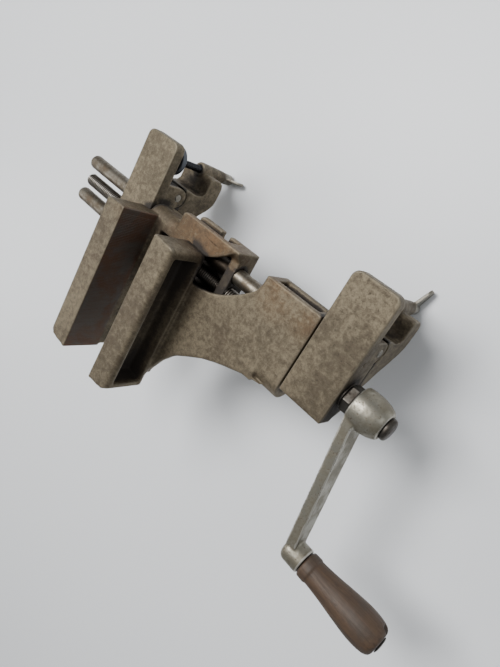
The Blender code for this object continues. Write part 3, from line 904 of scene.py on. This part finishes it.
# the stretch under the carriage is darkened too, for grease and painted shade
store(thread, "groove", np.maximum(darkening, 0.85 * carriage_grease_and_shade(thread)))
tip = spun(closed([(low.x, 4.2), (low.x + 1.0, 4.9), (low.x + 1.9, 4.9)], 0.5), "x", screw_axis, 40)
shank = spun(closed([(journal - 0.5, 5.3), (high.x - 8.4, 5.3), (high.x - 8.3, 3.35), (high.x, 3.35)], 0.3),
             "x", screw_axis, 40)
screw = shown("lead_screw_threaded", joined(thread, tip, shank), "crank", screw_steel,
              ["lead_screw"])
print(screw.name, "has", len(screw.data.polygons), "faces")

# %% Clamp screws
for side in ("left", "right"):
    node = side + "_clamp_screw"
    low, high = span(node)
    centre = middle(node)
    length = high.z - low.z - 1.2
    thread = run_tree(cut_thread, Length=length * MM, Radius=3.0 * MM, Groove=0.42 * MM, Pitch=1.0 * MM,
                      Rings=int(length * 7), Finish=black_steel)
    # painted shade in the thread roots
    store(thread, "groove", thread_root_shade(thread, 3.0, 0.42))
    thread.transform(Matrix.Translation(centre * MM))
    core = spun(closed([(low.z, 2.3), (high.z, 2.3)], 0.4), "z", centre, 32)
    both = joined(thread, core)
    made = shown(node + "_threaded", both, side + "_screw", black_steel, [node])
    print(made.name, "has", len(made.data.polygons), "faces")

# %% [markdown]
# ## Washers, nuts and pads
# These small turned parts sit between the big castings.  Each keeps the outline of its solid with its
# corners broken.

# %% Small turned parts
low, high = span("thrust_washer")
mesh = spun(closed([(low.x, 9.0), (high.x, 9.0)], 0.3), "x", screw_axis)
shown("thrust_washer_ring", mesh, "crank", dull_steel, ["thrust_washer"])
low, high = span("crank_nut")
nut_outline = closed([(low.x, 7.6), (low.x + 2.2, 7.6), (low.x + 3.4, 6.8), (high.x, 4.6)], 0.8)
mesh = spun(nut_outline, "x", screw_axis)
shown("crank_nut_dome", mesh, "crank", dull_steel, ["crank_nut"])
low, high = span("grip_spindle")
mesh = spun(closed([(low.x, 3.3), (high.x - 1.2, 3.3), (high.x - 1.1, 5.6), (high.x - 0.5, 5.4),
                    (high.x, 3.6)], 0.5), "x", grip_axis)
shown("grip_spindle_pin", mesh, "crank", dull_steel, ["grip_spindle"])
for side in ("left", "right"):
    node = side + "_clamp_pad"
    low, high = span(node)
    outline = closed([(low.z, 4.9), (low.z + 2.6, 5.4), (low.z + 3.3, 11.6), (low.z + 4.0, 12.0),
                      (high.z - 0.5, 12.0), (high.z, 11.4)], 0.4)
    disc = spun(outline, "z", middle(node))
    shown(node + "_disc", disc, side + "_pad", black_steel, [node])
print("washer, nut, spindle and pads")

# %% [markdown]
# ## The collar
# The collar outside the right block is a short length of hexagon bar, so that a spanner can hold it
# while the crank's nut is tightened.  Its corners are worn round, so it is remeshed like the castings.

# %% Hexagon collar
casting("screw_collar", dull_steel, 0.35, 5)

# %% [markdown]
# ## Serrated gripping faces
# The gripping faces are ribbed from top to bottom, one rib every millimetre and a quarter.  The ribs are
# copies of one small square prism set edge-on along a line, and sunk until only their edges show.

# %% Serrations


def serration_tree():
    group = bpy.data.node_groups.new("serrations", "GeometryNodeTree")
    group.interface.new_socket("Geometry", in_out="OUTPUT", socket_type="NodeSocketGeometry")
    for name, kind in (("Ribs", "NodeSocketInt"), ("Step", "NodeSocketFloat"), ("Width", "NodeSocketFloat"),
                       ("Height", "NodeSocketFloat"), ("Finish", "NodeSocketMaterial")):
        group.interface.new_socket(name, in_out="INPUT", socket_type=kind)
    tree = Tree(group)
    entry = group.nodes.new("NodeGroupInput")
    value = {s.name: Wire(tree, s) for s in entry.outputs if s.name}
    step = tree.add("ShaderNodeCombineXYZ", {}, {0: 0.0, 1: value["Step"], 2: 0.0})
    line = tree.add("GeometryNodeMeshLine", {}, {"Count": value["Ribs"], "Offset": step})
    size = tree.add("ShaderNodeCombineXYZ", {}, {0: value["Width"], 1: value["Width"], 2: value["Height"]})
    rib = tree.add("GeometryNodeMeshCube", {}, {"Size": size})
    turned = tree.add("GeometryNodeTransform", {}, {"Geometry": rib, "Rotation": (0.0, 0.0, math.pi / 4)})
    ribs = tree.add("GeometryNodeInstanceOnPoints", {}, {"Points": line, "Instance": turned})
    real = tree.add("GeometryNodeRealizeInstances", {}, {"Geometry": ribs})
    done = tree.add("GeometryNodeSetMaterial", {}, {"Geometry": real, "Material": value["Finish"]})
    leave = group.nodes.new("NodeGroupOutput")
    tree.give(leave.inputs[0], done)
    return group


RIBS = 93
RIB_STEP = 1.25
RIB_WIDTH = 0.8
RIB_SUNK = 0.42
jaw_floor = screw_axis.z + 13.9
jaw_ceiling = screw_axis.z + 45.5
jaw_foot = span("fixed_jaw")[0].y + 3.0
serrations = serration_tree()
faces = (("fixed_jaw_serrations", fixed_face, 1.0, "frame"),
         ("moving_jaw_serrations", moving_face, -1.0, "moving_jaw"))
for name, face, inward, body in faces:
    ribs = run_tree(serrations, Ribs=RIBS, Step=RIB_STEP * MM, Width=RIB_WIDTH * MM,
                    Height=(jaw_ceiling - jaw_floor) * MM, Finish=grip_crust)
    place = Vector((face + inward * RIB_SUNK, jaw_foot, (jaw_floor + jaw_ceiling) / 2)) * MM
    ribs.transform(Matrix.Translation(place))
    piece = shown(name, ribs, body, grip_crust, [])
    piece.data.polygons.foreach_set("use_smooth", [False] * len(piece.data.polygons))
    print(piece.name, "has", len(piece.data.polygons), "faces")

# %% [markdown]
# ## The wooden grip
# The grip swells towards its far end and fits the palm.  A short collar is turned at the crank's end.
# The far rim has lost a chip, so the points there are pushed in, and the bare wood inside is marked so
# that the material can darken it.

# %% Turn the grip and chip its rim
low, high = span("crank_grip")
grip_length = high.x - low.x
grip_outline = [(0.0, 8.2), (0.5, 9.0), (1.6, 9.3), (6.2, 9.45), (7.0, 9.2), (7.6, 8.8), (9.6, 8.85),
                (13.0, 9.1), (18.0, 9.5), (24.0, 10.1), (30.0, 10.85), (36.0, 11.5), (41.0, 12.0),
                (46.0, 12.3), (50.0, 12.25), (54.0, 11.9), (57.0, 11.3), (59.2, 10.4),
                (60.6, 9.2), (grip_length - 0.1, 7.6), (grip_length, 6.4)]
fine_outline = []
for (a, ra), (b, rb) in zip(grip_outline, grip_outline[1:]):
    steps = max(1, int((b - a) / 0.6))
    fine_outline += [(a + (b - a) * i / steps, ra + (rb - ra) * i / steps) for i in range(steps)]
fine_outline = [(low.x + a, r) for a, r in fine_outline] + [(high.x, 6.4)]
mesh = spun([(low.x, 3.6), *fine_outline, (high.x - 0.6, 3.6)], "x", grip_axis, 128)
CHIP_AT = -14.0
CHIP_WIDE = 19.0
chipped = []
for vertex in mesh.vertices:
    place = vertex.co / MM - Vector((0.0, grip_axis.y, grip_axis.z))
    radius = math.hypot(place.y, place.z)
    angle = math.degrees(math.atan2(place.z, place.y))
    across = abs((angle - CHIP_AT + 180.0) % 360.0 - 180.0) / CHIP_WIDE
    depth = max(0.0, 1.0 - across ** 3) * min(1.0, max(0.0, (place.x - high.x + 4.6) / 1.0))
    ragged = 0.82 + 0.18 * math.sin(angle * 0.9 + place.x * 3.1)
    if depth > 0.0 and radius > 6.6:
        scale = (radius - min(3.4 * depth * ragged, radius - 6.6)) / radius
        vertex.co.y = (grip_axis.y + place.y * scale) * MM
        vertex.co.z = (grip_axis.z + place.z * scale) * MM
    chipped.append(min(1.0, depth * 1.3) if radius > 6.6 else 0.0)
store(mesh, "chipped", chipped)
grip = shown("crank_grip_turned", mesh, "grip", grip_wood, ["crank_grip"])
grip.data.set_sharp_from_angle(angle=math.radians(50))
print(grip.name, "is %.1f mm long with" % grip_length, len(mesh.polygons), "faces")

# %% [markdown]
# ## Parts that keep their solids
# Pins, set screws and the bronze nut are simple, and mostly hidden.  Their solids are already right, so
# they only receive a finish.

# %% Finish the carried-over solids
for node, finish in (("left_pivot_pin", plated_steel), ("right_pivot_pin", plated_steel),
                     ("table_side_set_screw", black_steel), ("jaw_side_set_screw", black_steel),
                     ("lead_nut", bronze)):
    kept = frame["nodes"][node]
    kept.data.materials.clear()
    kept.data.materials.append(finish)
    print(node, "is", finish.name)

# %% [markdown]
# ## Floor, light and camera
# The vise lies on a plain pale floor under soft light.  A wide panel overhead gives the even light, a
# second from the left draws the edges, and a faint one from the right fills the shadows.

# %% Floor


def pale_floor():
    made, tree, shader, place = new_material("pale_floor")
    tree.give(shader.inputs["Base Color"], colour(0.80, 0.815, 0.83))
    tree.give(shader.inputs["Roughness"], 0.42)
    bm = bmesh.new()
    bmesh.ops.create_grid(bm, x_segments=2, y_segments=2, size=6.0)
    mesh = bpy.data.meshes.new("floor")
    bm.to_mesh(mesh)
    bm.free()
    mesh.transform(Matrix.Translation(Vector((0.0, 0.0, cad_box[0].z - 0.0005))))
    mesh.materials.append(made)
    floor = bpy.data.objects.new("floor", mesh)
    bpy.context.scene.collection.objects.link(floor)
    return floor


floor = pale_floor()
print("floor at Z %.1f mm" % (cad_box[0].z / MM))

# %% Lights


def panel(name, place, target, size, power, tint=(1.0, 1.0, 1.0)):
    data = bpy.data.lights.new(name, "AREA")
    data.shape = "RECTANGLE"
    data.size, data.size_y = size
    data.energy = power
    data.color = tint
    lamp = bpy.data.objects.new(name, data)
    bpy.context.scene.collection.objects.link(lamp)
    lamp.location = place
    lamp.rotation_euler = (Vector(target) - Vector(place)).to_track_quat("-Z", "Y").to_euler()
    return lamp


aim = (-0.08, -0.04, -0.02)
panel("overhead_panel", (-0.55, 0.35, 1.3), aim, (0.8, 0.6), 29.0)
panel("left_panel", (-1.2, -0.6, 0.7), aim, (0.5, 0.8), 4.0, (1.0, 0.98, 0.95))
panel("right_fill", (1.1, 0.7, 0.9), aim, (0.6, 0.8), 3.0, (0.94, 0.97, 1.0))
world = bpy.data.worlds.new("studio")
world.use_nodes = True
world.node_tree.nodes["Background"].inputs["Color"].default_value = (0.88, 0.90, 0.93, 1.0)
world.node_tree.nodes["Background"].inputs["Strength"].default_value = 0.36
bpy.context.scene.world = world
print("three panels and a pale sky")

# %% Camera
lens = bpy.data.cameras.new("camera")
lens.lens = 27.8
lens.sensor_width = 36.0
lens.clip_start = 0.01
camera = bpy.data.objects.new("camera", lens)
bpy.context.scene.collection.objects.link(camera)
right = Vector((0.6696, 0.4761, -0.5700)).normalized()
back = Vector((0.4569, 0.3411, 0.8215)).normalized()
up = back.cross(right).normalized()
right = up.cross(back)
camera.matrix_world = (Matrix.Translation(Vector((0.1013, 0.0588, 0.2918)))
                       @ Matrix((right, up, back)).transposed().to_4x4())
bpy.context.scene.camera = camera
print("camera looks down the vise from beyond the crank")

# %% [markdown]
# ## The last update
# The visual model has to fill the same box as the solids.  The scene is updated once more at the end.

# %% Update the scene
bpy.context.view_layer.update()
